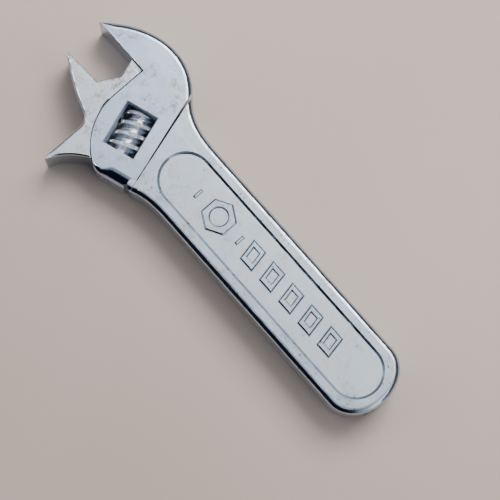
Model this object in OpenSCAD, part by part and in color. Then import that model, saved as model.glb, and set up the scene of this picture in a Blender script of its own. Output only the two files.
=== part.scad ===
// Flip-top pocket lighter in the form of an adjustable wrench.
// Millimetres. It lies on its back: +Y runs to the jaws, +Z out of the front.

/* [Overall] */
// Thickness of handle and head
thickness = 10; // [9.6:0.1:11]
// Half the width of the handle
half_width = 8.2; // [8.0:0.05:8.4]
// Distance from the middle of the handle to the butt end
butt_y = 33; // [31.5:0.5:36]
// Length of the rounded butt end
butt_round = 6.5; // [5:0.5:8]

/* [Parting line] */
// Where the parting line crosses the middle of the handle
part_y = 33.0; // [32.9:0.05:33.1]
// Tilt of the parting line in degrees
part_tilt = 16.05; // [15.8:0.05:16.3]
// Gap between lid and handle
part_gap = 0.2; // [0.12:0.02:0.3]

/* [Handle shells] */
// Wall along the sides
side_wall = 1.1; // [0.9:0.05:1.3]
// Floor thickness of the back shell
back_wall = 1.2; // [1.0:0.05:1.3]
// Depth from the front face to the cavity
front_wall = 1.3; // [1.2:0.05:1.5]
// Visible seam between the two shells
seam = 0.1; // [0.04:0.02:0.2]
// Half the width of the front recess
recess_half = 5.46; // [4.8:0.05:5.8]
// Depth of the front recess
recess_depth = 0.5; // [0.3:0.05:0.6]
// Height of the raised badge above the recess floor
relief = 0.35; // [0.2:0.05:0.45]

/* [Lid hinge] */
// Radius of the hinge knuckles
knuckle_r = 1.3; // [1.2:0.02:1.34]
// Radius of the hinge pin
hinge_pin_r = 0.5; // [0.4:0.05:0.6]
// Running clearance on the pin
pin_fit = 0.05; // [0.02:0.01:0.09]

// Widest opening of the lid in degrees
lid_opening = 70; // [45:1:72]

/* [Jaws] */
// How far the movable jaw sits behind the faces of the head
jaw_inset = 0.3; // [0.1:0.05:0.5]
// Clearance between movable jaw and head
jaw_gap = 0.15; // [0.1:0.01:0.25]
// Thickness of the tongue that carries the rack
tongue_t = 3.6; // [3.2:0.1:4]

/* [Worm] */
// Outer radius of the worm
worm_r = 3.3; // [3.24:0.01:3.32]
// Radius at the bottom of the thread
worm_root = 2.35; // [2.2:0.05:2.45]
// Axial pitch from one thread to the next
worm_pitch = 2.3; // [2.3:0.1:2.3]
// Number of thread starts
worm_starts = 2; // [2:1:2]
// Radius of the worm pin
worm_pin_r = 0.75; // [0.6:0.05:0.9]

/* [Fuel and spark] */
// Wall of the fuel tank
tank_wall = 0.7; // [0.5:0.05:0.9]
// Upper end of the fuel tank
tank_top = -1; // [-4:0.5:-1]
// Travel of the ignition button
button_travel = 2.0; // [1.6:0.1:2.0]

/* [Hidden] */
T = thickness;
mid = T / 2;
tan_p = tan(part_tilt);
hinge_x = -8.4;
hinge_y = part_y + hinge_x * tan_p;
knuckle_lo = mid - 1.8;
knuckle_hi = mid + 1.8;
cut_r = knuckle_r + 0.12;
worm_x = -1.64;
worm_y = 39.3;
worm_tilt = 18;
worm_lead = worm_pitch * worm_starts;
worm_a = -3.6;
worm_b = 4.3;
window_l = 9.4;
window_w = 6.75;
tongue_y = 43.9;
tooth_x = 1.32;
tooth_step = worm_pitch / cos(worm_tilt);
cav_x = half_width - side_wall;
valve_x = -3.3;
piezo_x = 4.4;
piezo_half = 2.4;
lever_x = -2.1;
lever_y = 8.0;
stem_top = 10.4;
tooth_y = 43.45;
tooth_s = (tooth_x - worm_x) * cos(worm_tilt) + (tooth_y - worm_y) * sin(worm_tilt);
fill_x = -2.7;
flame_x = 2.9;
$fn = 48;

// Points of a cubic Bezier curve, end point left out
function bez(a, b, c, d, n = 10) = [for (i = [0:n - 1])
    let (t = i / n, s = 1 - t)
    s * s * s * a + 3 * s * s * t * b + 3 * s * t * t * c + t * t * t * d];

// Points of an arc
function arc(cx, cy, r, a0, a1, n = 12) = [for (i = [0:n])
    let (a = a0 + (a1 - a0) * i / n) [cx + r * cos(a), cy + r * sin(a)]];

// Height of the parting line at a given x
function part_at(x) = part_y + x * tan_p;

// Coil spring along +Z from its own origin
module coil(r, wire, length, turns) {
    linear_extrude(length, twist = -360 * turns, slices = turns * 12, $fn = 12)
        polygon(concat(
            arc(0, 0, r + wire, 0, 170, 5),
            arc(0, 0, r - wire, 170, 0, 5)));
}

// Puts +Z of its child along +Y at (x, y) and mid thickness
module along_y(x, y) {
    translate([x, y, mid])
        rotate([-90, 0, 0])
            children();
}

// Puts +Z of its child along the worm axis
module along_worm(s = 0) {
    translate([worm_x, worm_y, mid])
        rotate([0, 0, worm_tilt])
            rotate([0, 90, 0])
                translate([0, 0, s])
                    children();
}

// Frame whose x runs along the parting line from the hinge pin
module at_deck() {
    translate([hinge_x, hinge_y, 0])
        rotate([0, 0, part_tilt])
            children();
}

// Round rod with ball ends from a to b
module rod(a, b, r) {
    d = b - a;
    l = norm(d);
    translate(a)
        rotate([0, acos(d.z / l), atan2(d.y, d.x)])
            cylinder(r = r, h = l, $fn = 20);
    translate(b)
        sphere(r = r + 0.04, $fn = 20);
}

/* Outlines */

module handle_outline() {
    k = 0.5523;
    w = half_width;
    b = -butt_y;
    e = b + butt_round;
    polygon(concat(
        bez([-w, e], [-w, e - butt_round * k], [-w * k, b], [0, b], 14),
        bez([0, b], [w * k, b], [w, e - butt_round * k], [w, e], 14),
        bez([w, 25], [w, 31.5], [9.8, 34.3], [12.0, part_at(12.0)], 14),
        [[12.0, part_at(12.0) - part_gap / 2], [-9.72, part_at(-9.72) - part_gap / 2]],
        bez([-9.72, part_at(-9.72) - part_gap / 2], [-8.9, 28.5], [-w, 26], [-w, 22], 12),
        [[-w, 22]]));
}

module cavity_outline() {
    k = 0.5523;
    w = cav_x;
    b = -butt_y + 1.4;
    e = b + butt_round - 0.9;
    polygon(concat(
        bez([-w, e], [-w, e - 5.5 * k], [-w * k, b], [0, b], 14),
        bez([0, b], [w * k, b], [w, e - 5.5 * k], [w, e], 14),
        [[w, 29], [8.2, 32.2], [8.2, 40], [-6.4, 40], [-6.4, 28.5], [-w, 26.5]]));
}

module recess_outline() {
    r = recess_half;
    polygon(concat(
        arc(0, 30.2 - r, r, 0, 180, 32),
        arc(0, -30.4 + r, r, 180, 360, 32)));
}

function cheek_arc(g = 0) = bez([0.5, 46.6 + g], [-4.5, 46.6 + g], [-9 - g * 0.7, 44.0 + g * 0.7],
    [-11.7 - g, 38.8 + g * 0.3], 20);

module head_outline() {
    g = part_gap / 2;
    polygon(concat(
        [[-9.72, part_at(-9.72) + g], [12.0, part_at(12.0) + g]],
        bez([12.0, part_at(12.0) + g], [14.2, 38.9], [15.75, 42.0], [15.5, 46.2], 12),
        bez([15.5, 46.2], [15.2, 51.2], [12.0, 56.6], [7.8, 59.6], 14),
        [[7.8, 59.6], [8.0, 58.7], [8.0, 46.6]],
        cheek_arc(0),
        bez([-11.7, 38.8], [-12.2, 37.9], [-12.05, 37.3], [-11.6, 36.0], 6),
        [[-11.6, 36.0], [-10.3, 32.1]]));
}

module jaw_outline() {
    polygon(concat(
        [[-0.6, 59.0], [-0.2, 50.9], [3.6, 48.75]],
        bez([3.6, 48.75], [4.0, 48.5], [4.4, 48.6], [4.8, 48.75], 5),
        [[7.9, 49.8], [7.9, 46.6 + jaw_gap]],
        [for (p = cheek_arc(jaw_gap)) if (p.y > 40.3) p],
        [[-11.05, 40.2]],
        bez([-11.05, 40.2], [-12.2, 42.1], [-14.6, 44.6], [-17.0, 45.5], 10),
        bez([-17.0, 45.5], [-17.7, 45.75], [-18.15, 45.9], [-17.9, 46.15], 4),
        bez([-17.9, 46.15], [-17.6, 46.4], [-17.3, 46.4], [-16.9, 46.4], 4),
        bez([-9.0, 46.4], [-7.2, 46.5], [-6.6, 47.1], [-6.2, 48.1], 8),
        bez([-6.2, 48.1], [-5.2, 51.3], [-3.6, 55.0], [-1.5, 58.3], 10),
        bez([-1.5, 58.3], [-1.1, 59.2], [-0.7, 59.4], [-0.6, 59.0], 4)));
}

/* Handle shells */

module badge() {
    floor_z = T - recess_depth;
    translate([0, 15, floor_z - 0.2])
        linear_extrude(relief + 0.2)
            difference() {
                circle(r = 3.75, $fn = 6);
                circle(r = 1.95, $fn = 48);
            }
    for (s = [-1, 1])
        translate([-1.1, 15 + s * 6.1 - 0.35, floor_z - 0.2])
            cube([2.2, 0.7, relief + 0.2]);
    for (k = [0:4])
        translate([0, 5.1 - k * 5.6, floor_z - 0.2])
            linear_extrude(relief + 0.2)
                difference() {
                    polygon([[-2.4, -2.4], [2.3, -1.5], [2.3, 2.1], [-2.4, 1.2]]);
                    polygon([[-1.1, -1.15], [1.1, -0.73], [1.1, 0.87], [-1.1, 0.45]]);
                }
}

module hinge_room(z0, z1) {
    translate([hinge_x, hinge_y, z0])
        cylinder(r = cut_r, h = z1 - z0);
}

// What the corner of the handle sweeps, seen from the lid at its widest opening
module hinge_sweep() {
    translate([hinge_x, hinge_y])
        rotate(-lid_opening - 2)
            translate([-hinge_x, -hinge_y])
                difference() {
                    intersection() {
                        handle_outline();
                        translate([hinge_x, hinge_y])
                            circle(r = 2);
                    }
                    translate([hinge_x, hinge_y])
                        circle(r = cut_r - 0.01);
                }
}

module hinge_ear(z0, z1) {
    translate([hinge_x, hinge_y, z0])
        cylinder(r = knuckle_r, h = z1 - z0);
}

module end_ports() {
    along_y(fill_x, -butt_y - 1)
        cylinder(r = 1.6, h = 4);
    along_y(flame_x, -butt_y - 1)
        cylinder(r = 2.0, h = 4);
}

module front_shell() {
    color([0.78, 0.8, 0.83])
    difference() {
        union() {
            difference() {
                translate([0, 0, mid + seam / 2])
                    linear_extrude(T - mid - seam / 2)
                        handle_outline();
                translate([0, 0, mid - 1])
                    linear_extrude(T - front_wall - mid + 1)
                        cavity_outline();
                hinge_room(mid - 1, knuckle_hi + 0.1);
                translate([0, 0, T - recess_depth])
                    linear_extrude(2)
                        recess_outline();
            }
            hinge_ear(knuckle_hi + 0.1, T);
            badge();
        }
        end_ports();
        translate([hinge_x, hinge_y, -1])
            cylinder(r = hinge_pin_r, h = T + 0.1, $fn = 32);
    }
}

module back_shell() {
    color([0.76, 0.78, 0.81])
    difference() {
        union() {
            difference() {
                linear_extrude(mid - seam / 2)
                    handle_outline();
                translate([0, 0, back_wall])
                    linear_extrude(T)
                        cavity_outline();
                hinge_room(knuckle_lo - 0.1, mid + 1);
            }
            hinge_ear(0, knuckle_lo - 0.1);
        }
        end_ports();
        translate([hinge_x, hinge_y, -1])
            cylinder(r = hinge_pin_r, h = T, $fn = 32);
    }
}

module shell_pins() {
    color([0.6, 0.62, 0.65])
    for (p = [[-6.0, 9.6], [-6.0, 19.5], [5.9, 1.6]])
        translate([p.x, p.y, back_wall])
            cylinder(r = 0.9, h = T - front_wall - back_wall, $fn = 24);
}

/* Fuel system */

module tank_shape(inset) {
    w = cav_x - 0.15 - inset;
    k = 0.5523;
    b = -butt_y + 2.6 + inset;
    e = b + 5.0;
    polygon(concat(
        bez([-w, e], [-w, e - 4 * k], [-w * k, b], [0, b], 12),
        bez([0, b], [w * k, b], [w, e - 4 * k], [w, e], 12),
        [[w, tank_top], [-w, tank_top]]));
}

module fuel_tank() {
    h = T - front_wall - back_wall - 0.2;
    color([0.86, 0.86, 0.82])
    difference() {
        union() {
            difference() {
                translate([0, 0, back_wall + 0.1])
                    linear_extrude(h)
                        tank_shape(0);
                translate([0, 0, back_wall + 0.1 + tank_wall])
                    linear_extrude(h - 2 * tank_wall)
                        intersection() {
                            tank_shape(tank_wall);
                            translate([-20, -40])
                                square([40, 40 + tank_top - 0.9]);
                        }
                translate([-cav_x + 1.4, tank_top - 1, back_wall + 1.3])
                    cube([2 * cav_x - 2.8, 2, h - 2.4]);
            }
            along_y(fill_x, -butt_y + 3.0)
                cylinder(r = 1.9, h = 3.2);
            along_y(flame_x, -butt_y + 3.0)
                cylinder(r = 1.9, h = 3.2);
        }
        along_y(fill_x, -butt_y)
            cylinder(r = 1.2, h = 9, $fn = 32);
        along_y(flame_x, -butt_y)
            cylinder(r = 1.2, h = 9, $fn = 32);
    }
}

module tank_cap() {
    color([0.8, 0.8, 0.76])
    difference() {
        union() {
            translate([-cav_x + 0.15, tank_top, back_wall + 0.1])
                cube([2 * cav_x - 0.3, 1.0, T - front_wall - back_wall - 0.2]);
            translate([-cav_x + 1.5, tank_top - 0.9, back_wall + 1.4])
                cube([2 * cav_x - 3, 1.2, T - front_wall - back_wall - 2.8]);
            along_y(valve_x, tank_top)
                cylinder(r = 2.5, h = 2.2);
        }
        along_y(valve_x, tank_top - 2)
            cylinder(r = 1.8, h = 8);
    }
}

module fill_valve_body() {
    color([0.8, 0.66, 0.35])
    along_y(fill_x, 0)
        difference() {
            union() {
                translate([0, 0, -butt_y + 0.9])
                    cylinder(r = 1.5, h = 1.5);
                translate([0, 0, -butt_y + 2.4])
                    cylinder(r = 1.2, h = 4.6);
            }
            translate([0, 0, -butt_y])
                cylinder(r = 0.5, h = 10);
            translate([0, 0, -butt_y + 3.6])
                cylinder(r = 0.85, h = 2.6);
        }
}

module fill_valve_seal() {
    color([0.1, 0.1, 0.1])
    along_y(fill_x, -butt_y + 3.7)
        difference() {
            cylinder(r = 0.8, h = 0.6);
            translate([0, 0, -1])
                cylinder(r = 0.5, h = 3);
        }
}

module fill_valve_stem() {
    color([0.85, 0.72, 0.4])
    along_y(fill_x, 0) {
        translate([0, 0, -butt_y + 1.5])
            cylinder(r = 0.42, h = 6.9);
        translate([0, 0, -butt_y + 7.2])
            cylinder(r = 0.75, h = 0.8);
    }
}

module flame_adjuster() {
    color([0.7, 0.58, 0.32])
    along_y(flame_x, 0)
        difference() {
            union() {
                translate([0, 0, -butt_y + 1.0])
                    cylinder(r = 1.85, h = 1.4);
                translate([0, 0, -butt_y + 2.4])
                    cylinder(r = 1.1, h = 4.4);
                translate([0, 0, -butt_y + 6.8])
                    cylinder(r1 = 1.1, r2 = 0.2, h = 1.2);
            }
            translate([-0.25, -3, -butt_y])
                cube([0.5, 6, 1.6]);
            translate([0, 0, -butt_y + 3.8])
                difference() {
                    cylinder(r = 2, h = 0.8);
                    cylinder(r = 0.75, h = 0.8);
                }
        }
}

module flame_adjuster_seal() {
    color([0.1, 0.1, 0.1])
    along_y(flame_x, -butt_y + 4.2)
        rotate_extrude()
            translate([1.0, 0])
                circle(r = 0.18, $fn = 16);
}

module valve_body() {
    color([0.8, 0.66, 0.35])
    along_y(valve_x, 0)
        difference() {
            union() {
                translate([0, 0, tank_top - 0.5])
                    cylinder(r = 1.75, h = 6.6 - tank_top + 0.5);
                translate([0, 0, 4.3])
                    cylinder(r = 2.1, h = 1.2);
            }
            translate([0, 0, -6])
                cylinder(r = 0.55, h = 16);
            cylinder(r = 1.1, h = 5.6);
        }
}

module valve_seal() {
    color([0.1, 0.1, 0.1])
    along_y(valve_x, 0.1)
        difference() {
            cylinder(r = 1.05, h = 0.8);
            translate([0, 0, -1])
                cylinder(r = 0.5, h = 3);
        }
}

module valve_stem() {
    color([0.85, 0.72, 0.4])
    along_y(valve_x, 0)
        difference() {
            union() {
                translate([0, 0, 1.0])
                    cylinder(r = 0.45, h = stem_top - 1.0);
                translate([0, 0, 1.0])
                    cylinder(r = 0.95, h = 1.2);
                translate([0, 0, stem_top - 1.1])
                    cylinder(r = 0.95, h = 1.1);
            }
            translate([0, 0, stem_top - 0.9])
                cylinder(r = 0.3, h = 2);
        }
}

module gas_lever() {
    color([0.35, 0.36, 0.38])
    difference() {
        union() {
            translate([lever_x, lever_y, mid - 1.6])
                cylinder(r = 0.9, h = 3.2);
            translate([valve_x - 0.9, lever_y + 0.3, mid - 1.6])
                cube([5.9, 0.8, 3.2]);
        }
        translate([lever_x, lever_y, -1])
            cylinder(r = 0.4 + pin_fit, h = 12, $fn = 32);
        translate([valve_x - 3, lever_y - 2, mid - 0.65])
            cube([3.7, 4, 1.3]);
    }
}

module lever_pin() {
    color([0.7, 0.71, 0.73])
    translate([lever_x, lever_y, back_wall])
        cylinder(r = 0.4, h = T - front_wall - back_wall, $fn = 32);
}

/* Burner and spark */

module burner_tube() {
    color([0.75, 0.75, 0.74])
    along_y(valve_x, stem_top + 1.9)
        difference() {
            union() {
                cylinder(r = 1.3, h = 26.7 - stem_top - 1.9);
                cylinder(r = 1.9, h = 1.2);
            }
            translate([0, 0, -1])
                cylinder(r = 0.75, h = 30);
        }
}

module burner_nozzle() {
    color([0.8, 0.66, 0.35])
    along_y(valve_x, 26.7)
        difference() {
            cylinder(r = 1.3, h = 4.2);
            translate([0, 0, -1])
                cylinder(r = 0.45, h = 8);
            translate([0, 0, 3.2])
                cylinder(r = 0.9, h = 4);
        }
}

module wind_guard() {
    color([0.55, 0.56, 0.58])
    difference() {
        translate([valve_x - 2.35, 29.4, mid - 2.6])
            cube([4.7, 3.0, 5.2]);
        translate([valve_x - 1.95, 27, mid - 2.2])
            cube([3.9, 8, 4.4]);
        for (s = [-1, 1])
            translate([valve_x + s * 1.0, 31.5, -1])
                cylinder(r = 0.4, h = 12, $fn = 20);
    }
}

module piezo_housing() {
    color([0.12, 0.12, 0.13])
    difference() {
        translate([piezo_x - piezo_half, 3.2, mid - piezo_half])
            cube([2 * piezo_half, 14.8, 2 * piezo_half]);
        translate([piezo_x - 1.9, 9.5, mid - 1.9])
            cube([3.8, 20, 3.8]);
        translate([piezo_x - 1.1, 4.2, mid - 1.1])
            cube([2.2, 20, 2.2]);
    }
}

module piezo_hammer() {
    color([0.5, 0.5, 0.52])
    translate([piezo_x - 0.9, 4.4, mid - 0.9])
        cube([1.8, 8.0, 1.8]);
}

module piezo_plunger() {
    color([0.9, 0.9, 0.88])
    difference() {
        union() {
            translate([piezo_x - 1.75, 12.2, mid - 1.75])
                cube([3.5, 9.6, 3.5]);
            translate([piezo_x - piezo_half, 20.4, mid - piezo_half])
                cube([2 * piezo_half, 1.6, 2 * piezo_half]);
        }
        translate([piezo_x - 1.1, 10, mid - 1.1])
            cube([2.2, 5.0, 2.2]);
    }
}

module electrode() {
    color([0.7, 0.7, 0.7])
    union() {
        rod([-1.65, 26.9, mid], [-1.65, 31.3, mid], 0.25);
        rod([-1.65, 31.3, mid], [-2.5, 31.3, mid], 0.25);
    }
}

module electrode_wire() {
    z = mid + 2.2;
    color([0.75, 0.1, 0.08])
    union() {
        rod([1.96, 5.2, z], [0.1, 5.2, z], 0.3);
        rod([0.1, 5.2, z], [0.1, 26.3, z], 0.3);
        rod([0.1, 26.3, z], [-1.65, 26.3, z], 0.3);
        rod([-1.65, 26.3, z], [-1.65, 26.3, mid], 0.3);
    }
}

module ignition_button() {
    color([0.1, 0.1, 0.11])
    union() {
        intersection() {
            translate([piezo_x - piezo_half, 22.0, mid - 2.6])
                cube([2 * piezo_half, 20, 5.2]);
            at_deck()
                translate([0, -16, 0])
                    cube([30, 16 + 1.9, T]);
        }
        translate([0.9, 22.0, mid - 1.4])
            cube([2, 3, 2.8]);
        translate([0.9, lever_y + 1.25, mid - 1.4])
            cube([0.8, 14, 2.8]);
    }
}

module deck_plate() {
    color([0.14, 0.14, 0.15])
    difference() {
        intersection() {
            at_deck()
                translate([2.05, -1.6, back_wall + 0.1])
                    cube([14.4, 1.1, T - front_wall - back_wall - 0.2]);
            translate([-6.3, 20, 0])
                cube([14.4, 20, T]);
        }
        translate([piezo_x - piezo_half - 0.15, 20, mid - 2.75])
            cube([2 * piezo_half + 0.3, 20, 5.5]);
        translate([valve_x - 2.35, 20, mid - 2.6])
            cube([4.7, 20, 5.2]);
    }
}

/* Hinge and lid */

module hinge_pin() {
    color([0.62, 0.63, 0.66])
    translate([hinge_x, hinge_y, 0.3])
        cylinder(r = hinge_pin_r, h = T - 1.4, $fn = 32);
}

module head_body() {
    color([0.78, 0.8, 0.83])
    difference() {
        union() {
            difference() {
                linear_extrude(T)
                    head_outline();
                hinge_room(-1, T + 1);
            }
            intersection() {
                hinge_ear(knuckle_lo, knuckle_hi);
                translate([-20, 20, 0])
                    cube([40, 40, T]);
            }
            intersection() {
                linear_extrude(T)
                    head_outline();
                hinge_room(knuckle_lo, knuckle_hi);
            }
        }
        translate([0, 0, -1])
            linear_extrude(T + 2)
                hinge_sweep();
        translate([hinge_x, hinge_y, -1])
            cylinder(r = hinge_pin_r + pin_fit, h = T + 2, $fn = 32);
        translate([worm_x, worm_y, -1])
            rotate([0, 0, worm_tilt])
                translate([-window_l / 2, -window_w / 2, 0])
                    cube([window_l, window_w, T + 2]);
        translate([-25, tongue_y - jaw_gap, mid - tongue_t / 2 - jaw_gap])
            cube([25 + 7.1, 10, tongue_t + 2 * jaw_gap]);
        translate([-7.6, tongue_y - 1.15, mid - tongue_t / 2 - jaw_gap])
            cube([7.6 + 7.1, 2, tongue_t + 2 * jaw_gap]);
        along_worm(-14)
            cylinder(r = worm_pin_r + 0.05, h = 14 + 7.6, $fn = 32);
        along_worm(-14)
            cylinder(r = 1.25, h = 14 - 9.2, $fn = 32);
        along_worm(4)
            cylinder(r = 1.55, h = 3.0, $fn = 32);
        at_deck() {
            translate([9.9, -1, mid - 3.2])
                cube([6.95, 3.2, 6.4]);
            translate([2.4, -1, mid - 2.9])
                cube([6.2, 3.0, 5.8]);
        }
    }
}

/* Jaw, worm */

module movable_jaw() {
    color([0.77, 0.79, 0.82])
    union() {
        translate([0, 0, jaw_inset])
            linear_extrude(T - 2 * jaw_inset)
                jaw_outline();
        translate([0, 0, mid - tongue_t / 2])
            linear_extrude(tongue_t)
                polygon([[-7.4, tongue_y], [6.8, tongue_y], [6.8, 47.2], [-2.5, 47.2], [-7.4, 44.6]]);
        for (k = [-1:2])
            translate([tooth_x + k * tooth_step, tooth_y, mid])
                rotate([0, 0, worm_tilt])
                    rotate([0, 13, 0])
                        translate([-0.275, -0.35, -1.1])
                            cube([0.55, 1.1, 2.2]);
    }
}

function worm_radius(a) = let (
    p = (((a % 180) + 180) % 180) / 180,
    crest = 0.2,
    flank = 0.16,
    d = abs(p - 0.5))
    d < crest ? worm_r : d < crest + flank ? worm_r - (worm_r - worm_root) * (d - crest) / flank : worm_root;

module worm() {
    groove_turn = -90 - 360 * (tooth_s - worm_a) / worm_lead;
    color([0.72, 0.74, 0.78])
    difference() {
        union() {
            along_worm(worm_a)
                rotate([0, 0, groove_turn])
                    linear_extrude(worm_b - worm_a, twist = -360 * (worm_b - worm_a) / worm_lead, slices = 26, $fn = 24)
                        polygon([for (a = [0:15:345]) [worm_radius(a) * cos(a), worm_radius(a) * sin(a)]]);
            along_worm(-4.5)
                cylinder(r = 1.7, h = 1.0, $fn = 32);
        }
        along_worm(-6)
            cylinder(r = worm_pin_r + pin_fit, h = 14, $fn = 32);
    }
}

module worm_pin() {
    color([0.62, 0.63, 0.66])
    difference() {
        union() {
            along_worm(-9.2)
                cylinder(r = worm_pin_r, h = 9.2 + 7.4, $fn = 32);
            along_worm(-10.4)
                cylinder(r = 1.15, h = 1.2, $fn = 32);
        }
        along_worm(-11)
            translate([-2, -0.2, 0])
                cube([4, 0.4, 1.0]);
    }
}

module worm_spring() {
    color([0.6, 0.62, 0.66])
    along_worm(4.5)
        coil(1.15, 0.2, 2.1, 3);
}

front_shell();
back_shell();
shell_pins();
fuel_tank();
tank_cap();
fill_valve_body();
fill_valve_seal();
fill_valve_stem();
flame_adjuster();
flame_adjuster_seal();
valve_body();
valve_seal();
valve_stem();
gas_lever();
lever_pin();
burner_tube();
burner_nozzle();
wind_guard();
piezo_housing();
piezo_plunger();
piezo_hammer();
electrode();
electrode_wire();
ignition_button();
deck_plate();
hinge_pin();
head_body();
movable_jaw();
worm();
worm_pin();
worm_spring();
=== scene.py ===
"""Flip-top lighter in the form of an adjustable wrench: camera, light, materials and finished skins."""

import math

import bmesh
import bpy
from mathutils import Matrix, Vector
from mathutils.geometry import delaunay_2d_cdt, intersect_line_line_2d


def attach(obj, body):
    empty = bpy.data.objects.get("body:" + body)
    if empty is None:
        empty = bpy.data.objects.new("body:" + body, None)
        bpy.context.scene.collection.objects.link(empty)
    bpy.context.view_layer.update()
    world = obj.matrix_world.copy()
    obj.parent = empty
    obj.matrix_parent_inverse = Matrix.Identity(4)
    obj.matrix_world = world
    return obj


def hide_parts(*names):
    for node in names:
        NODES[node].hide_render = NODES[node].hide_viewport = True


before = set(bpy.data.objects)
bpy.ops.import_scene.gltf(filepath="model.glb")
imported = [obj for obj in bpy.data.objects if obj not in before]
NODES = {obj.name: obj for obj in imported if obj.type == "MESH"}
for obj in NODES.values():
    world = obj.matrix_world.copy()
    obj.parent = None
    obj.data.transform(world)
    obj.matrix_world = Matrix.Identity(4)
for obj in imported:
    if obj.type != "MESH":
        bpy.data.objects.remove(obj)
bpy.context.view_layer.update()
MM = 0.001


# ---------------------------------------------------------------- camera
def aim_camera():
    cam = bpy.data.objects.new("camera", bpy.data.cameras.new("camera"))
    bpy.context.scene.collection.objects.link(cam)
    target = Vector((0.18, 6.11, 10.0)) * MM
    place = Vector((-46.0, -36.0, 440.0)) * MM
    ahead = (target - place).normalized()
    right = Vector((math.cos(0.7215), -math.sin(0.7215), 0.0))
    right = (right - ahead * right.dot(ahead)).normalized()
    up = right.cross(ahead)
    cam.matrix_world = Matrix.Translation(place) @ Matrix((right, up, -ahead)).transposed().to_4x4()
    cam.data.sensor_width = 36.0
    cam.data.lens = 161.4
    cam.data.clip_start = 0.01
    cam.data.clip_end = 20.0
    bpy.context.scene.camera = cam
    return right, up


RIGHT, UP = aim_camera()
SUNWARD = (Vector((RIGHT.x, RIGHT.y, 0)) * 0.55 + Vector((UP.x, UP.y, 0)) * 0.85).normalized()


# ---------------------------------------------------------------- node helpers
class Shader:
    """Small helper to write a node tree in a few lines."""

    def __init__(self, name):
        self.mat = bpy.data.materials.new(name)
        self.mat.use_nodes = True
        self.tree = self.mat.node_tree
        self.bsdf = next(n for n in self.tree.nodes if n.type == "BSDF_PRINCIPLED")

    def add(self, kind, **values):
        n = self.tree.nodes.new(kind)
        for key, value in values.items():
            if key.startswith("_"):
                setattr(n, key[1:], value)
            else:
                self.put(n.inputs[key.replace("__", " ")], value)
        return n

    def put(self, socket, value):
        if isinstance(value, bpy.types.NodeSocket):
            self.tree.links.new(value, socket)
        else:
            socket.default_value = value

    def math(self, op, a, b=0.0, c=0.0):
        n = self.tree.nodes.new("ShaderNodeMath")
        n.operation = op
        for s, v in zip(n.inputs, (a, b, c)):
            self.put(s, v)
        return n.outputs[0]

    def ramp(self, value, low, high, out_low=0.0, out_high=1.0):
        n = self.tree.nodes.new("ShaderNodeMapRange")
        n.interpolation_type = "SMOOTHSTEP"
        self.put(n.inputs["Value"], value)
        n.inputs["From Min"].default_value = low
        n.inputs["From Max"].default_value = high
        self.put(n.inputs["To Min"], out_low)
        self.put(n.inputs["To Max"], out_high)
        return n.outputs[0]

    def mix(self, share, a, b):
        n = self.tree.nodes.new("ShaderNodeMix")
        n.data_type = "RGBA"
        self.put(n.inputs[0], share)
        self.put(n.inputs[6], a)
        self.put(n.inputs[7], b)
        return n.outputs[2]

    def coords(self, scale=(1, 1, 1), rotate=(0, 0, 0)):
        where = self.add("ShaderNodeTexCoord")
        n = self.add("ShaderNodeMapping")
        n.inputs["Scale"].default_value = scale
        n.inputs["Rotation"].default_value = rotate
        self.tree.links.new(where.outputs["Object"], n.inputs["Vector"])
        return n.outputs[0]

    def noise(self, scale, detail=3.0, rough=0.5, stretch=(1, 1, 1), rotate=(0, 0, 0)):
        n = self.add("ShaderNodeTexNoise", Scale=scale, Detail=detail, Roughness=rough)
        self.tree.links.new(self.coords(stretch, rotate), n.inputs["Vector"])
        return n.outputs["Fac"]

    def normal(self, axis):
        where = self.add("ShaderNodeTexCoord")
        n = self.add("ShaderNodeSeparateXYZ")
        self.tree.links.new(where.outputs["Normal"], n.inputs[0])
        return n.outputs[axis]

    def position(self, axis):
        where = self.add("ShaderNodeTexCoord")
        n = self.add("ShaderNodeSeparateXYZ")
        self.tree.links.new(where.outputs["Object"], n.inputs[0])
        return n.outputs[axis]

    def bump(self, height, strength, distance, under=None):
        n = self.add("ShaderNodeBump", Strength=strength, Distance=distance)
        self.put(n.inputs["Height"], height)
        if under is not None:
            self.put(n.inputs["Normal"], under)
        return n.outputs[0]

    def set(self, **values):
        for key, value in values.items():
            self.put(self.bsdf.inputs[key.replace("__", " ")], value)
        return self.mat


def rgb(r, g, b):
    return (r, g, b, 1.0)


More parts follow.
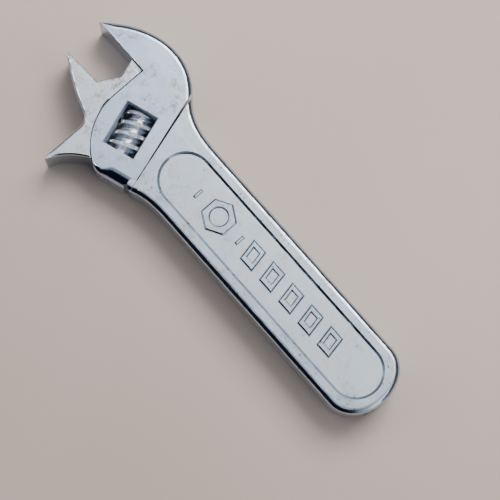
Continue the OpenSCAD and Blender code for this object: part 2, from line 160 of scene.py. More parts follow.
# ---------------------------------------------------------------- materials
def chrome(name, tone, along, face_rough=0.27, side_rough=0.09, pits=0.5, stains=0.5, soft=None):
    """Satin plate on the flat faces, brighter and slightly wavy plate on the edges, brushed along one way.
    soft is (x, y, radius) in mm of a round region whose inner walls are duller."""
    s = Shader(name)
    face = s.ramp(s.math("ABSOLUTE", s.normal(2)), 0.93, 0.995)
    low = s.math("MULTIPLY", face, s.math("SUBTRACT", 1.0, s.ramp(s.position(2), 0.00955, 0.0097)))
    turn = (0, 0, math.radians(-along))
    brush = s.noise(1500, 2.0, 0.6, (1.0, 0.03, 0.05), turn)
    grain = s.noise(5200, 2.0, 0.6)
    wave = s.noise(420, 2.0, 0.5)
    cloud = s.ramp(s.noise(150, 5.0, 0.65), 0.40, 0.60)
    warm = s.ramp(s.noise(210, 4.0, 0.6, (1, 1, 1), (0.4, 0.2, 0.9)), 0.46, 0.62)
    stain = s.ramp(s.noise(560, 6.0, 0.75), 0.47, 0.68)
    stain = s.math("MULTIPLY", stain, s.math("MAXIMUM", face, 0.3))
    patch = s.ramp(s.noise(170, 2.0, 0.5, (1, 1, 1), (1.0, 0.3, 0.1)), 0.42, 0.58)
    specks = s.math("MULTIPLY", s.ramp(s.noise(1700, 2.0, 0.5), 0.60, 0.74), s.math("ADD", patch, 0.2))
    scratch = s.ramp(s.noise(900, 1.0, 0.4, (1.0, 0.012, 0.1), (0, 0, math.radians(31 - along))), 0.66, 0.70)
    colour = s.mix(cloud, rgb(*tone), rgb(*(c * v for c, v in zip(tone, (0.86, 0.87, 0.89)))))
    colour = s.mix(s.math("MULTIPLY", warm, 0.5), colour, rgb(tone[0], tone[1] * 0.94, tone[2] * 0.84))
    stained = s.math("MULTIPLY", stain, s.math("ADD", patch, 0.15))
    colour = s.mix(s.math("MULTIPLY", stained, 0.75 * stains), colour, rgb(0.22, 0.22, 0.225))
    colour = s.mix(s.math("MULTIPLY", specks, 0.85 * pits), colour, rgb(0.10, 0.10, 0.10))
    colour = s.mix(s.math("MULTIPLY", scratch, 0.3), colour, rgb(0.97, 0.97, 0.97))
    colour = s.mix(s.math("MULTIPLY", low, 0.5), colour, rgb(0.395, 0.438, 0.48))
    edge_rough, metal = side_rough, 1.0
    if soft:
        x = s.math("SUBTRACT", s.position(0), soft[0] * MM)
        y = s.math("SUBTRACT", s.position(1), soft[1] * MM)
        away = s.math("SQRT", s.math("ADD", s.math("MULTIPLY", x, x), s.math("MULTIPLY", y, y)))
        edge_rough = s.ramp(away, soft[2] * MM, (soft[2] + 0.3) * MM, 0.5, side_rough)
        metal = s.math("MAXIMUM", face, s.ramp(away, soft[2] * MM, (soft[2] + 0.3) * MM, 0.35, 1.0))
    rough = s.math("ADD", s.math("MULTIPLY", brush, 0.1), edge_rough)
    rough = s.math("ADD", rough, s.math("MULTIPLY", face, s.math("SUBTRACT", face_rough, edge_rough)))
    rough = s.math("ADD", rough, s.math("MULTIPLY", low, 0.1))
    rough = s.math("ADD", rough, s.math("MULTIPLY", stain, 0.06))
    edges = s.math("SUBTRACT", 1.0, face)
    wavy = s.bump(s.math("MULTIPLY", wave, edges), 0.7, 0.00014)
    fine = s.bump(grain, 0.25, 0.00002, wavy)
    dents = s.bump(specks, -0.6 * pits, 0.00003, fine)
    lines = s.bump(brush, 0.14, 0.00003, dents)
    return s.set(Base__Color=colour, Metallic=metal, Roughness=rough, Normal=lines)


def plain_metal(name, tone, rough, scale=2600):
    s = Shader(name)
    cloud = s.noise(260, 3.0, 0.6)
    lines = s.noise(scale, 2.0, 0.6, (1, 0.15, 1))
    colour = s.mix(s.math("MULTIPLY", cloud, 0.6), rgb(*tone), rgb(*(c * 0.7 for c in tone)))
    uneven = s.ramp(lines, 0.2, 0.8, rough * 0.7, rough * 1.3)
    return s.set(Base__Color=colour, Metallic=1.0, Roughness=uneven, Normal=s.bump(lines, 0.15, 0.00002))


def plastic(name, tone, rough, scale=4200, strength=0.2):
    s = Shader(name)
    grain = s.noise(scale, 2.0, 0.6)
    cloud = s.noise(320, 3.0, 0.6)
    colour = s.mix(s.math("MULTIPLY", cloud, 0.4), rgb(*tone), rgb(*(c * 0.8 for c in tone)))
    return s.set(Base__Color=colour, Roughness=s.ramp(grain, 0.2, 0.8, rough * 0.85, min(1.0, rough * 1.15)),
                 Normal=s.bump(grain, strength, 0.00003))


PLATE = (0.465, 0.55, 0.655)
MATS = {
    "shell": chrome("shell_plate", PLATE, 0, pits=1.0, stains=0.7),
    "head": chrome("head_plate", (0.445, 0.54, 0.695), 20, pits=0.9, stains=1.2, soft=(-1.64, 39.3, 6.1)),
    "jaw": chrome("jaw_plate", (0.53, 0.60, 0.69), 60, pits=0.9, stains=1.3),
    "worm": chrome("worm_plate", (0.84, 0.87, 0.92), 18, 0.16, 0.16, pits=0.4, stains=0.4),
    "steel": plain_metal("steel", (0.5, 0.51, 0.53), 0.32),
    "brass": plain_metal("brass", (0.75, 0.55, 0.25), 0.28),
    "black": plastic("black_plastic", (0.022, 0.022, 0.025), 0.55),
    "white": plastic("white_plastic", (0.75, 0.75, 0.71), 0.4),
    "tank": plastic("tank_plastic", (0.78, 0.80, 0.78), 0.3, strength=0.08),
    "rubber": plastic("rubber", (0.02, 0.02, 0.02), 0.8),
    "wire": plastic("wire_insulation", (0.42, 0.02, 0.015), 0.42, strength=0.06),
}
NODE_LOOK = {
    "front_shell": "shell", "back_shell": "shell", "head_body": "head", "movable_jaw": "jaw", "worm": "worm",
    "fuel_tank": "tank", "tank_cap": "tank", "fill_valve_body": "brass", "fill_valve_stem": "brass",
    "flame_adjuster": "brass", "valve_body": "brass", "valve_stem": "brass", "burner_nozzle": "brass",
    "fill_valve_seal": "rubber", "flame_adjuster_seal": "rubber", "valve_seal": "rubber",
    "piezo_housing": "black", "ignition_button": "black", "deck_plate": "black", "piezo_plunger": "white",
    "electrode_wire": "wire",
}


def dress(obj, look):
    obj.data.materials.clear()
    obj.data.materials.append(MATS[look])


for name, obj in NODES.items():
    dress(obj, NODE_LOOK.get(name, "steel"))


# ---------------------------------------------------------------- outlines, in mm
TOP = 10.0                        # thickness of the whole object
MID = 5.0
HALF_WIDTH = 8.2                  # of the handle
BUTT = -33.0
BUTT_ROUND = 6.5
TILT_DEG = 16.05                  # slope of the parting line
TILT = math.tan(math.radians(TILT_DEG))
WORM_TURN = math.radians(18)
WORM_AT = Vector((-1.64, 39.3, MID))
WORM_ALONG = Vector((math.cos(WORM_TURN), math.sin(WORM_TURN), 0.0))
WORM_UP = Vector((-math.sin(WORM_TURN), math.cos(WORM_TURN), 0.0))
WORM_PITCH = 2.3
WORM_LEAD = 2 * WORM_PITCH        # two starts
WORM_ENDS = (-3.6, 4.3)
CREST, ROOT = 3.29, 2.35
TOOTH_X, TOOTH_Y = 1.32, 43.45
GAP = 0.1                         # half the slit at the parting line
EAR, PIN = 1.3, 0.5               # radii of the hinge's knuckle and its pin
FILL_X, FLAME_X = -2.7, 2.9       # ports in the butt end


def part_line(x):
    """Height of the parting line between lid and handle."""
    return 33.0 + x * TILT


HINGE = Vector((-8.4, part_line(-8.4)))


def bez(a, b, c, d, n=14):
    """Points of a cubic Bezier curve, end point left out."""
    a, b, c, d = (Vector(p) for p in (a, b, c, d))
    out = []
    for i in range(n):
        t = i / n
        r = 1 - t
        out.append(a * r ** 3 + b * 3 * r * r * t + c * 3 * r * t * t + d * t ** 3)
    return out


def line(a, b, n):
    a, b = Vector(a), Vector(b)
    return [a.lerp(b, i / n) for i in range(n)]


def arc(cx, cy, r, a0, a1, n):
    steps = [math.radians(a0 + (a1 - a0) * i / n) for i in range(n + 1)]
    return [Vector((cx + r * math.cos(t), cy + r * math.sin(t))) for t in steps]


def cheek_arc(g=0.0, n=30):
    """Border between head and jaw, moved outwards by g for the jaw."""
    start, end = (0.5, 46.6 + g), (-11.7 - g, 38.8 + g * 0.3)
    return bez(start, (-4.5, 46.6 + g), (-9 - g * 0.7, 44.0 + g * 0.7), end, n)


def body_outline():
    """Outline of handle and head together, as if there were no parting line."""
    k, w, b, e = 0.5523, HALF_WIDTH, BUTT, BUTT + BUTT_ROUND
    left, right = (-9.72, part_line(-9.72)), (12.0, part_line(12.0))
    return (bez((-w, e), (-w, e - BUTT_ROUND * k), (-w * k, b), (0, b), 22)
            + bez((0, b), (w * k, b), (w, e - BUTT_ROUND * k), (w, e), 22)
            + line((w, e), (w, 25), 12)
            + bez((w, 25), (w, 31.5), (9.8, 34.3), right, 20)
            + bez(right, (14.2, 38.9), (15.75, 42.0), (15.5, 46.2), 20)
            + bez((15.5, 46.2), (15.2, 51.2), (12.0, 56.6), (7.8, 59.6), 26)
            + line((7.8, 59.6), (8.0, 58.7), 2)
            + line((8.0, 58.7), (8.0, 46.6), 10)
            + line((8.0, 46.6), (0.5, 46.6), 4)
            + cheek_arc()
            + bez((-11.7, 38.8), (-12.2, 37.9), (-12.05, 37.3), (-11.6, 36.0), 8)
            + line((-11.6, 36.0), (-10.3, 32.1), 4)
            + line((-10.3, 32.1), left, 3)
            + bez(left, (-8.9, 28.5), (-w, 26), (-w, 22), 16)
            + line((-w, 22), (-w, e), 12))


def jaw_outline():
    g = 0.15
    return (line((-0.6, 59.0), (-0.2, 50.9), 6)
            + line((-0.2, 50.9), (3.6, 48.75), 3)
            + bez((3.6, 48.75), (4.0, 48.5), (4.4, 48.6), (4.8, 48.75), 5)
            + line((4.8, 48.75), (7.9, 49.8), 2)
            + line((7.9, 49.8), (7.9, 46.6 + g), 2)
            + line((7.9, 46.6 + g), (0.5, 46.6 + g), 4)
            + [p for p in cheek_arc(g) if p.y > 40.3]
            + bez((-11.05, 40.2), (-12.2, 42.1), (-14.6, 44.6), (-17.0, 45.5), 14)
            + bez((-17.0, 45.5), (-17.7, 45.75), (-18.15, 45.9), (-17.9, 46.15), 4)
            + bez((-17.9, 46.15), (-17.6, 46.4), (-17.3, 46.4), (-16.9, 46.4), 4)
            + line((-16.9, 46.4), (-9.0, 46.4), 6)
            + bez((-9.0, 46.4), (-7.2, 46.5), (-6.6, 47.1), (-6.2, 48.1), 12)
            + bez((-6.2, 48.1), (-5.2, 51.3), (-3.6, 55.0), (-1.5, 58.3), 16)
            + bez((-1.5, 58.3), (-1.1, 59.2), (-0.7, 59.4), (-0.6, 59.0), 4))


# ---------------------------------------------------------------- mesh helpers
def new_object(name, bm):
    mesh = bpy.data.meshes.new(name)
    bmesh.ops.recalc_face_normals(bm, faces=bm.faces)
    bm.to_mesh(mesh)
    bm.free()
    obj = bpy.data.objects.new(name, mesh)
    bpy.context.scene.collection.objects.link(obj)
    return obj


def dense(points, most=0.8):
    """Outline without doubles and with no edge longer than most."""
    out = []
    for i, p in enumerate(points):
        q = points[(i + 1) % len(points)]
        if (q - p).length < 0.02:
            continue
        n = max(1, math.ceil((q - p).length / most))
        out += [p.lerp(q, k / n) for k in range(n)]
    return out


def edge_normals(points):
    n = len(points)
    area = sum(points[i].x * points[(i + 1) % n].y - points[(i + 1) % n].x * points[i].y for i in range(n))
    side = 1.0 if area > 0 else -1.0
    out = []
    for i in range(n):
        d = (points[(i + 1) % n] - points[i]).normalized()
        out.append(Vector((d.y, -d.x)) * side)
    return out


def room_inside(points, i, direction, reach):
    """Distance from a point to the far side of the outline, up to reach."""
    p = points[i]
    best = reach
    for j, a in enumerate(points):
        b = points[(j + 1) % len(points)]
        if j == i or points[j - 1] is p or b is p:
            continue
        hit = intersect_line_line_2d(p, p + direction * reach, a, b)
        if hit is not None:
            best = min(best, (hit - p).length)
    return best


def inward(points, rule, reach, slope=0.7):
    """Inward move and width of the rounding at each outline point, narrower at tight curves."""
    n = len(points)
    normals = edge_normals(points)
    widths = []
    for i, p in enumerate(points):
        before, after = p - points[i - 1], points[(i + 1) % n] - p
        turn = normals[i - 1].angle(normals[i])
        convex = normals[i - 1].dot(after) < 0
        wish = rule(p)
        if convex and turn > 0.02:
            wish = min(wish, 0.65 * (before.length + after.length) / 2 / turn)
        if wish > 0.12:
            inner = -(normals[i - 1] + normals[i]).normalized()
            wish = min(wish, 0.4 * room_inside(points, i, inner, reach))
        widths.append(wish)
    for lap in range(2):
        for i in range(n):
            widths[i] = min(widths[i], widths[i - 1] + slope * (points[i] - points[i - 1]).length)
        for i in reversed(range(n)):
            j = (i + 1) % n
            widths[i] = min(widths[i], widths[j] + slope * (points[i] - points[j]).length)
    ways = []
    for i in range(n):
        both = (normals[i - 1] + normals[i]).normalized()
        ways.append(both / -max(both.dot(normals[i]), 0.6))
    for attempt in range(12):
        inner = [p + way * w for p, way, w in zip(points, ways, widths)]
        crossed = crossings(inner)
        if not crossed:
            break
        for i, p in enumerate(inner):
            if any((p - c).length < 0.4 for c in crossed):
                widths[i] *= 0.6
    return [(way * w, w) for way, w in zip(ways, widths)]


def crossings(points):
    """Places where a closed outline crosses itself."""
    n = len(points)
    found = delaunay_2d_cdt(points, [(i, (i + 1) % n) for i in range(n)], [], 1, 1e-6)
    return [found[0][i] for i, kept in enumerate(found[3]) if not kept]


def cap(bm, ring):
    """Flat triangles that close a ring."""
    n = len(ring)
    ends = [(i, (i + 1) % n) for i in range(n)]
    found = delaunay_2d_cdt([v.co.xy for v in ring], ends, [], 1, 1e-6)
    if any(len(kept) == 0 for kept in found[3]):
        raise ValueError("an outline crosses itself")
    for face in found[2]:
        bm.faces.new([ring[found[3][i][0]] for i in face])


def loft(bm, rings):
    n = len(rings[0])
    for low, high in zip(rings, rings[1:]):
        for i in range(n):
            j = (i + 1) % n
            bm.faces.new((low[i], low[j], high[j], high[i]))
    cap(bm, rings[0])
    cap(bm, rings[-1])


def plate(name, points, z0, z1, top, bottom, steps=8, power=1.6, depth=0.8, reach=3.0):
    """Plate with eased rims. top and bottom give the rim's width at an outline point, in mm."""
    points = dense(points)
    bm = bmesh.new()
    rings = []
    for rule, z, up in ((bottom, z0, -1), (top, z1, 1)):
        moves = inward(points, rule, reach)
        order = range(steps, -1, -1) if up < 0 else range(steps + 1)
        for k in order:
            t = math.pi / 2 * k / steps
            out = 1 - max(math.cos(t), 0.0) ** (2 / power)
            drop = 1 - math.sin(t) ** (2 / power)
            ring = []
            for p, (move, w) in zip(points, moves):
                xy = p + move * out
                ring.append(bm.verts.new((xy.x, xy.y, z - up * w * drop * depth)))
            rings.append(ring)
    loft(bm, rings)
    return new_object(name, bm)


def block(name, size, matrix):
    bm = bmesh.new()
    bmesh.ops.create_cube(bm, size=1.0, matrix=matrix @ Matrix.Diagonal((*size, 1.0)))
    return new_object(name, bm)


def pocket(name, points, floor_z, face_z, draft, lip, most=0.8):
    """Cutter for a recess or window whose walls lean outwards by draft and whose edge is eased by lip."""
    points = dense(points, most)
    normals = edge_normals(points)
    grow = [(normals[i - 1] + normals[i]).normalized() for i in range(len(points))]
    grow = [g / max(g.dot(normals[i]), 0.6) for i, g in enumerate(grow)]
    bm = bmesh.new()
    levels = [(floor_z, 0.0), (face_z - lip, draft), (face_z - lip * 0.35, draft + lip * 0.35)]
    levels += [(face_z, draft + lip), (face_z + 0.6, draft + lip)]
    rings = [[bm.verts.new((p.x + g.x * out, p.y + g.y * out, z)) for p, g in zip(points, grow)]
             for z, out in levels]
    loft(bm, rings)
    return new_object(name, bm)


def rod(name, start, along, radius, length, sides=40):
    """Cylinder from start along a direction, in mm."""
    bm = bmesh.new()
    turn = Vector(along).to_track_quat("Z", "Y").to_matrix().to_4x4()
    centre = Vector(start) + Vector(along).normalized() * length / 2
    bmesh.ops.create_cone(bm, cap_ends=True, segments=sides, radius1=radius, radius2=radius, depth=length,
                          matrix=Matrix.Translation(centre) @ turn)
    return new_object(name, bm)


def bake(obj):
    """Applies the modifiers of an object to its mesh."""
    bpy.context.view_layer.update()
    graph = bpy.context.evaluated_depsgraph_get()
    mesh = bpy.data.meshes.new_from_object(obj.evaluated_get(graph))
    obj.modifiers.clear()
    obj.data = mesh


def combine(obj, others, how="DIFFERENCE"):
    for other in others:
        mod = obj.modifiers.new("cut", "BOOLEAN")
        mod.operation = how
        mod.solver = "EXACT"
        mod.object = other
        bake(obj)
        mesh = other.data
        bpy.data.objects.remove(other)
        bpy.data.meshes.remove(mesh)


def finish_piece(obj, look, body, slot, *nodes, sharp=34):
    """Scales to metres, smooths with edges kept, sets material and body, and hides the CAD nodes it
    replaces. slot is not used.
    """
    obj.data.transform(Matrix.Scale(MM, 4))
    obj.data.shade_smooth()
    obj.data.set_sharp_from_angle(angle=math.radians(sharp))
    bm = bmesh.new()
    bm.from_mesh(obj.data)
    for edge in bm.edges:
        flat = [abs(face.normal.z) > 0.9998 for face in edge.link_faces]
        if any(flat) and not all(flat):
            edge.smooth = False
    bm.to_mesh(obj.data)
    bm.free()
    mod = obj.modifiers.new("normals", "WEIGHTED_NORMAL")
    mod.keep_sharp = True
    mod.weight = 60
    dress(obj, look)
    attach(obj, body)
    if nodes:
        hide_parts(*nodes)


# ---------------------------------------------------------------- handle shells
def body_rim(p):
    """Width of the eased edge along the outline of handle and head, in mm."""
    if p.y < part_line(p.x) + 0.2 or p.x > 8.1:
        return 1.25
    if p.x < -9.7 and p.y < 38.9:
        return 1.2
    return 0.14


def head_rim(p):
    """As body_rim, with the broad bevel at the head's lower left."""
    if p.x < -8.5 and 26.0 < p.y < 36.8:
        return 2.4
    return body_rim(p)


def along_part_line(z, lean=0.0):
    """Frame at the hinge's axis whose X runs along the parting line."""
    return Matrix.Translation((HINGE.x, HINGE.y, z)) @ Matrix.Rotation(math.radians(TILT_DEG + lean), 4, "Z")


def upright(name, z, radius, length):
    """Cylinder on the hinge's axis."""
    return rod(name, (HINGE.x, HINGE.y, z), (0, 0, 1), radius, length)


def half(side, lean=0.0):
    """Cutter for everything above (side 1) or below (side -1) the parting line."""
    at = along_part_line(MID, lean)
    return block("half", (120, 90, 30), at @ Matrix.Translation((0, side * (45 - GAP), 0)))


def twin(obj):
    other = bpy.data.objects.new(obj.name + "_twin", obj.data.copy())
    bpy.context.scene.collection.objects.link(other)
    return other


def cavity():
    """Cutter for the room inside the two shells."""
    w, b, x = 7.1, -31.6, HALF_WIDTH
    upper = ((w, -26), (w, 29), (x, 32.2), (x, 40), (-6.4, 40), (-6.4, 28.5), (-w, 26.5))
    pts = (bez((-w, -26), (-w, -29), (-w * 0.55, b), (0, b), 12)
           + bez((0, b), (w * 0.55, b), (w, -29), (w, -26), 12)
           + [Vector(p) for p in upper])
    return plate("cavity", pts, 1.2, 8.7, lambda p: 0.05, lambda p: 0.05, 1)


def slot_outline(r, y0, y1, n=36):
    return arc(0, y1 - r, r, 0, 180, n) + arc(0, y0 + r, r, 180, 360, n)


def seam_rim(p):
    return 0.1


def badge_pieces():
    """Raised hexagon ring, two bars and five slotted blocks on the recess floor."""
    low, high = 9.3, 9.85

    def rim(p):
        return 0.36

    def foot(p):
        return 0.02

    ring = plate("badge", arc(0, 15, 3.75, 0, 300, 5), low, high, rim, foot, power=1.2, depth=0.95)
    combine(ring, [pocket("hole", arc(0, 15, 1.7, 0, 350, 35), 9.45, high, 0.3, 0.05)])
    out = [ring]
    for s in (-1, 1):
        y = 15 + s * 6.1
        bar = [Vector((x, y + v)) for x, v in ((-1.1, -0.35), (1.1, -0.35), (1.1, 0.35), (-1.1, 0.35))]
        out.append(plate("bar", bar, low, high, lambda p: 0.24, foot, power=1.2, depth=0.95))
    for k in range(5):
        y = 5.1 - k * 5.6
        face = [Vector((x, y + v)) for x, v in ((-2.4, -2.4), (2.3, -1.5), (2.3, 2.1), (-2.4, 1.2))]
        hole = [Vector((x, y + v)) for x, v in ((-0.95, -1.0), (0.95, -0.62), (0.95, 0.75), (-0.95, 0.33))]
        tile = plate("tile", face, low, high, rim, foot, power=1.2, depth=0.95)
        combine(tile, [pocket("hole", hole, 9.45, high, 0.28, 0.04)])
        out.append(tile)
    return out


def make_shells():
    shells = []
    for name, z0, z1, top, bottom, ear_z in (("front_shell", 5.05, TOP, body_rim, seam_rim, 6.9),
                                             ("back_shell", 0.0, 4.95, seam_rim, body_rim, -0.9)):
        shell = plate(name + "_skin", body_outline(), z0, z1, top, bottom)
        ear = upright("ear", ear_z, EAR, 4.0)
        combine(ear, [twin(shell)], "INTERSECT")
        combine(shell, [half(1), cavity(), upright("gap", 3.1, 1.42, 3.8)])
        combine(shell, [ear], "UNION")
        shells.append(shell)
    front, back = shells
    combine(front, [block("line", (4, 0.14, 1.6), along_part_line(9.4))])
    combine(front, [pocket("recess", slot_outline(5.12, -30.06, 29.86), 9.5, TOP, 0.42, 0.07)])
    combine(front, badge_pieces(), "UNION")
    for name, obj in (("front_shell", front), ("back_shell", back)):
        combine(obj, [rod("port", (FILL_X, BUTT - 1, MID), (0, 1, 0), 1.6, 4),
                      rod("port", (FLAME_X, BUTT - 1, MID), (0, 1, 0), 2.0, 4),
                      upright("bore", 0.1, PIN, 9.0)])
        finish_piece(obj, "shell", "handle", "shell_chrome", name)


# ---------------------------------------------------------------- lid with fixed jaw
def window_outline():
    c = WORM_AT.xy
    a, u = WORM_ALONG.xy * 4.62, WORM_UP.xy * 3.36
    return [c - a - u, c + a - u, c + a + u, c - a + u]


def flipped(obj):
    """Turns a cutter made for the front face over to the back face."""
    obj.data.transform(Matrix.Translation((0, 0, TOP)) @ Matrix.Diagonal((1, 1, -1, 1)))
    obj.data.flip_normals()
    return obj


def make_head():
    head = plate("head_skin", body_outline(), 0.0, TOP, head_rim, head_rim, reach=7.0)
    knuckle = upright("knuckle", 3.2, EAR, 3.6)
    combine(knuckle, [twin(head)], "INTERSECT")
    combine(head, [half(-1, 0.9), upright("low", -1, 1.34, 4.2), upright("high", 6.8, 1.34, 4.2),
                   upright("mid", 3.1, 1.25, 3.8)])
    combine(head, [knuckle], "UNION")
    deck = along_part_line(MID)
    cuts = [pocket("window", window_outline(), -0.6, TOP, 0.08, 0.14),
            flipped(pocket("under", window_outline(), 4.0, TOP, 0.08, 0.14)),
            block("slot", (32.1, 10, 3.9), Matrix.Translation((-8.95, 48.75, MID))),
            block("channel", (14.7, 2, 3.9), Matrix.Translation((-0.25, 43.75, MID))),
            block("room", (6.95, 3.2, 6.4), deck @ Matrix.Translation((13.375, 0.6, 0))),
            block("room", (6.2, 3.0, 5.8), deck @ Matrix.Translation((5.5, 0.5, 0))),
            rod("pin", WORM_AT - WORM_ALONG * 14, WORM_ALONG, 0.8, 21.6),
            rod("sink", WORM_AT - WORM_ALONG * 14, WORM_ALONG, 1.25, 4.8),
            rod("spring", WORM_AT + WORM_ALONG * 4, WORM_ALONG, 1.55, 3.0),
            upright("bore", -1, 0.55, 12),
            sweep()]
    combine(head, cuts)
    finish_piece(head, "head", "lid", "head_chrome", "head_body")


def sweep():
    """What the handle's corner passes through while the lid opens."""
    turn = math.radians(-72)
    pts = []
    for p in arc(HINGE.x, HINGE.y, 2.02, 120, 280, 14):
        d = p - HINGE
        if p.y < part_line(p.x) - GAP:
            x = d.x * math.cos(turn) - d.y * math.sin(turn)
            y = d.x * math.sin(turn) + d.y * math.cos(turn)
            pts.append(HINGE + Vector((x, y)))
    pts.append(HINGE.copy())
    return plate("sweep", pts, -1.0, TOP + 1.0, lambda p: 0.01, lambda p: 0.01, 1)


# ---------------------------------------------------------------- worm
def make_worm():
    """Two-start worm with a finely notched crest and a low bead in the groove."""
    a, b = WORM_ENDS
    mesh_s = (TOOTH_X - WORM_AT.x) * math.cos(WORM_TURN) + (TOOTH_Y - WORM_AT.y) * math.sin(WORM_TURN)
    around, rows = 432, 120
    notches = 54

    def radius(angle, s):
        p = ((math.degrees(angle) + 90 + 360 * (mesh_s - s) / WORM_LEAD) / 180) % 1.0
        d = abs(p - 0.5)
        up = min(1.0, max(0.0, (0.27 - d) / 0.11))
        up = up * up * (3 - 2 * up)
        notch = 0.07 * max(0.0, math.cos(angle * notches)) * (1.0 if up > 0.9 else 0.0)
        bead = 0.34 * math.exp(-((d - 0.46) / 0.10) ** 2)
        ends = min(1.0, (s - a) / 0.18 + 0.75, (b - s) / 0.18 + 0.75)
        return (ROOT - 0.16 + bead + (CREST - ROOT + 0.16) * up - notch) * ends

    verts, faces = [], []

    def ring(s, r_of):
        for i in range(around):
            angle = 2 * math.pi * i / around
            r = r_of(angle)
            p = WORM_AT + WORM_ALONG * s + WORM_UP * (r * math.sin(angle))
            verts.append(p + Vector((0, 0, -r * math.cos(angle))))

    for k in range(rows + 1):
        s = a + (b - a) * k / rows
        ring(s, lambda angle, s=s: radius(angle, s))
    ring(b, lambda angle: 1.0)
    ring(b, lambda angle: 0.8)
    ring(a, lambda angle: 0.8)
    ring(a, lambda angle: 1.0)
    total = rows + 5
    for k in range(total):
        low, high = k * around, ((k + 1) % total) * around
        for i in range(around):
            j = (i + 1) % around
            faces.append((low + i, low + j, high + j, high + i))
    bm = bmesh.new()
    mesh = bpy.data.meshes.new("worm")
    mesh.from_pydata(verts, [], faces)
    bm.from_mesh(mesh)
    bpy.data.meshes.remove(mesh)
    worm = new_object("worm_skin", bm)
    hub = rod("hub", WORM_AT - WORM_ALONG * 4.5, WORM_ALONG, 1.7, 0.95)
    combine(hub, [rod("bore", WORM_AT - WORM_ALONG * 5, WORM_ALONG, 0.8, 3)])
    hub.name = "worm_hub_skin"
    finish_piece(hub, "worm", "worm", "worm_chrome")
    finish_piece(worm, "worm", "worm", "worm_chrome", "worm", sharp=60)


# ---------------------------------------------------------------- movable jaw
def jaw_rim(p):
    """Width of the eased edge along the jaw's outline, narrow where it meets the head."""
    if p.y > 48.3 and p.x > -0.7:
        return 0.2
    if p.x > 7.5:
        return 0.15
    if p.y < 46.9 and p.x > -0.5:
        return 0.1
    if p.x > -11.2 and p.y < 46.3 and p.y > 40.3:
        return 0.1
    return 0.55


def make_jaw():
    jaw = plate("movable_jaw_skin", jaw_outline(), 0.3, 9.7, jaw_rim, jaw_rim)
    corners = ((-7.4, 43.9), (6.8, 43.9), (6.8, 47.2), (-2.5, 47.2), (-7.4, 44.6))
    tongue = plate("tongue", [Vector(p) for p in corners], 3.2, 6.8, lambda p: 0.08, lambda p: 0.08, 2)
    combine(jaw, [tongue], "UNION")
    teeth = []
    for k in range(-1, 3):
        at = Matrix.Translation((TOOTH_X + k * WORM_PITCH / math.cos(WORM_TURN), TOOTH_Y, MID))
        turn = Matrix.Rotation(WORM_TURN, 4, "Z") @ Matrix.Rotation(math.radians(13), 4, "Y")
        teeth.append(block("tooth", (0.55, 1.1, 2.2), at @ turn @ Matrix.Translation((0, 0.2, 0))))
    combine(jaw, teeth, "UNION")
    finish_piece(jaw, "jaw", "jaw", "jaw_chrome", "movable_jaw")


make_shells()
make_head()
make_worm()
make_jaw()


# ---------------------------------------------------------------- floor and light
def floor():
    s = Shader("floor")
    mottle = s.ramp(s.noise(11, 3.0, 0.55), 0.3, 0.7)
    fine = s.noise(420, 3.0, 0.6)
    colour = s.mix(mottle, rgb(0.58, 0.489, 0.440), rgb(0.62, 0.532, 0.487))
    colour = s.mix(s.math("MULTIPLY", fine, 0.12), colour, rgb(0.48, 0.41, 0.36))
    # painted shade: the floor's colour is darkened on the side away from the light, toward the picture's
    # lower left
    across = s.math("MULTIPLY", s.position(0), SUNWARD.x)
    along = s.math("ADD", across, s.math("MULTIPLY", s.position(1), SUNWARD.y))
    colour = s.mix(s.ramp(along, -0.06, 0.05, 0.46, 0.0), colour, rgb(0.30, 0.25, 0.21))
    s.set(Base__Color=colour, Roughness=0.75, Normal=s.bump(fine, 0.1, 0.0002))
    mesh = bpy.data.meshes.new("floor")
    bm = bmesh.new()
    bmesh.ops.create_grid(bm, x_segments=1, y_segments=1, size=3.0)
    bm.to_mesh(mesh)
    bm.free()
    obj = bpy.data.objects.new("floor", mesh)
    bpy.context.scene.collection.objects.link(obj)
    obj.location.z = -0.0001
    mesh.materials.append(s.mat)


def lamp(name, across, upward, height, size, power, colour=(1, 1, 1)):
    """Area lamp placed by the picture's right and up directions, aimed at the object."""
    data = bpy.data.lights.new(name, "AREA")
    data.shape = "RECTANGLE"
    data.size, data.size_y = size
    data.energy = power
    data.color = colour
    obj = bpy.data.objects.new(name, data)
    bpy.context.scene.collection.objects.link(obj)
    middle = Vector((0.0, 0.012, 0.005))
    side = Vector((RIGHT.x, RIGHT.y, 0)).normalized()
    ahead = Vector((UP.x, UP.y, 0)).normalized()
    obj.location = middle + side * across + ahead * upward + Vector((0, 0, height))
    obj.rotation_mode = "QUATERNION"
    obj.rotation_quaternion = (middle - obj.location).to_track_quat("-Z", "Y")


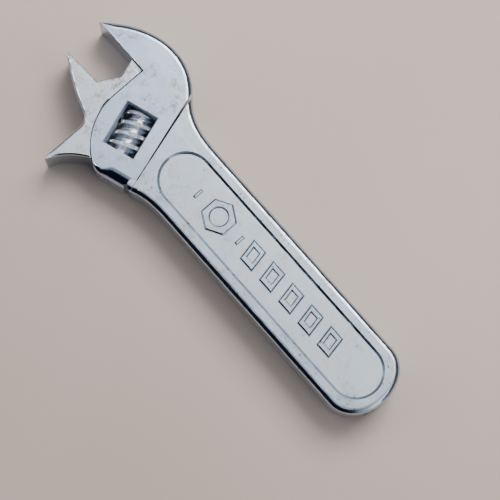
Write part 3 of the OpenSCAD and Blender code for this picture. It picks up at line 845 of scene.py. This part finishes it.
def light():
    """Open sky overhead, a bright side toward the picture's upper right and a dark side opposite."""
    world = bpy.data.worlds.new("world")
    bpy.context.scene.world = world
    world.use_nodes = True
    tree = world.node_tree
    back = tree.nodes["Background"]
    where = tree.nodes.new("ShaderNodeTexCoord").outputs["Generated"]

    def toward(direction):
        n = tree.nodes.new("ShaderNodeVectorMath")
        n.operation = "DOT_PRODUCT"
        n.inputs[1].default_value = direction
        tree.links.new(where, n.inputs[0])
        return n.outputs["Value"]

    def multiply_add(a, b, c):
        n = tree.nodes.new("ShaderNodeMath")
        n.operation = "MULTIPLY_ADD"
        for socket, value in zip(n.inputs, (a, b, c)):
            if isinstance(value, bpy.types.NodeSocket):
                tree.links.new(value, socket)
            else:
                socket.default_value = value
        return n.outputs[0]

    ragged = tree.nodes.new("ShaderNodeTexNoise")
    ragged.inputs["Scale"].default_value = 7.0
    ragged.inputs["Detail"].default_value = 5.0
    tree.links.new(where, ragged.inputs["Vector"])
    aside = toward((-SUNWARD.y, SUNWARD.x, 0.0))
    square = multiply_add(aside, aside, 0.0)
    widened = multiply_add(square, 0.95, toward((SUNWARD.x, SUNWARD.y, 0.0)))
    fit = tree.nodes.new("ShaderNodeMapRange")
    fit.inputs["From Min"].default_value = -0.825
    fit.inputs["From Max"].default_value = 1.175
    tree.links.new(multiply_add(ragged.outputs["Fac"], 0.35, widened), fit.inputs["Value"])
    ramp = tree.nodes.new("ShaderNodeValToRGB")
    stops = ((0.0, (0.006, 0.008, 0.016)), (0.27, (0.010, 0.013, 0.028)), (0.34, (0.24, 0.27, 0.33)),
             (0.44, (0.55, 0.59, 0.67)), (0.56, (0.78, 0.82, 0.89)), (0.65, (1.7, 1.7, 1.7)),
             (0.80, (2.7, 2.68, 2.65)), (0.86, (0.26, 0.27, 0.29)), (1.0, (0.16, 0.16, 0.17)))
    keys = ramp.color_ramp.elements
    keys[0].position, keys[0].color = stops[0][0], (*stops[0][1], 1)
    keys[1].position, keys[1].color = stops[-1][0], (*stops[-1][1], 1)
    for place, colour in stops[1:-1]:
        keys.new(place).color = (*colour, 1)
    tree.links.new(fit.outputs[0], ramp.inputs[0])
    tree.links.new(ramp.outputs[0], back.inputs[0])
    back.inputs[1].default_value = 0.76
    lamp("key", 0.30, 0.42, 0.75, (0.5, 0.5), 9.0, (1.0, 0.95, 0.90))


floor()
light()
